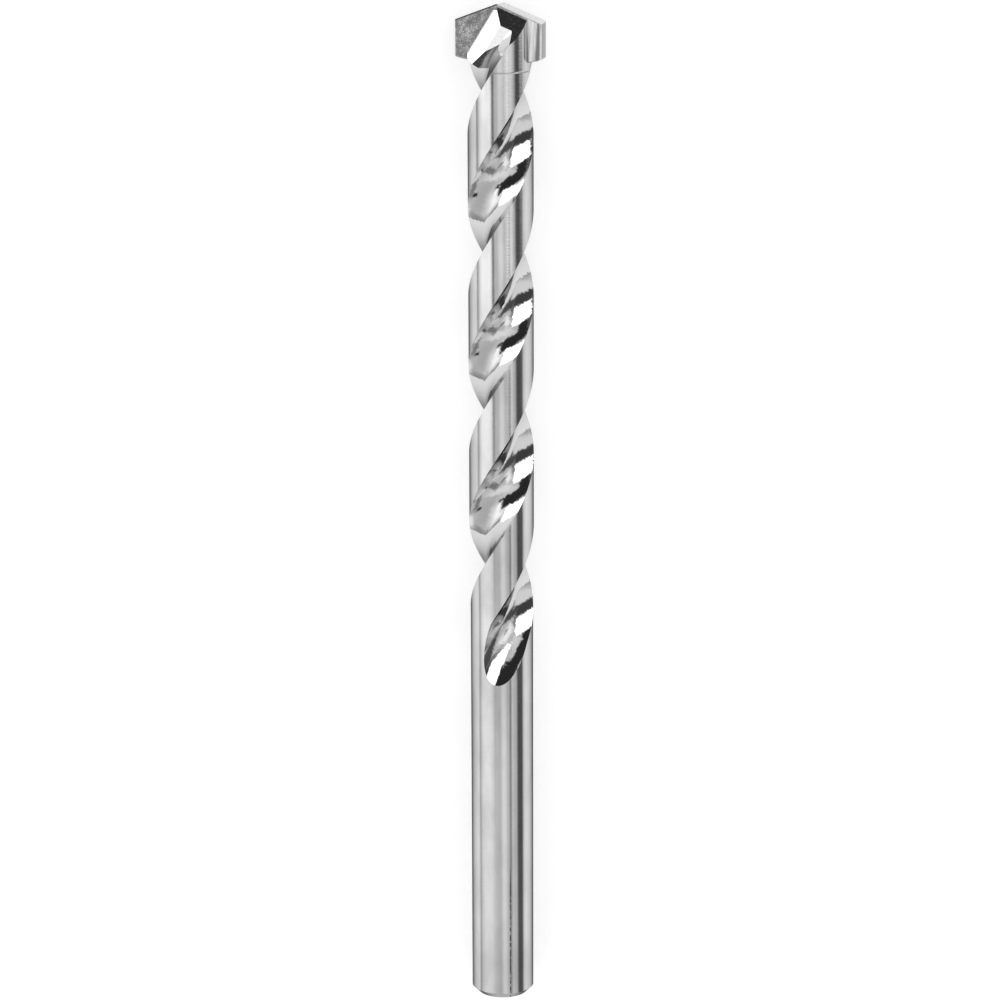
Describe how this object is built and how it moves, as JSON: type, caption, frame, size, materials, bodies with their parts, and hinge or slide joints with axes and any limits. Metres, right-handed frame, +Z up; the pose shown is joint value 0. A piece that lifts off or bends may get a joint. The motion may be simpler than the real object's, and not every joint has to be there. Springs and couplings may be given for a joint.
{
  "type": "masonry drill bit",
  "caption": "Twist drill bit for masonry: round steel shank, right-hand helical flutes and a wide roof-shaped carbide plate brazed across the ground point.",
  "frame": {"origin": "middle of the shank's flat end face, on the bit's axis", "axes": "+Y along the bit's axis from the shank's end to the point; Z up as the bit lies on its side, so the bit rests on its lands below"},
  "size_m": [0.013, 0.15, 0.0094],
  "materials": {
    "steel": "ground bright steel, polished in the flutes",
    "carbide": "sintered hard metal, matt grey with fine speckle",
    "braze": "brazing metal, plated over and dull"
  },
  "bodies": {
    "root": {"steel_body": "steel", "carbide_tip": "carbide", "braze_seam": "braze"}
  },
  "joints": []
}
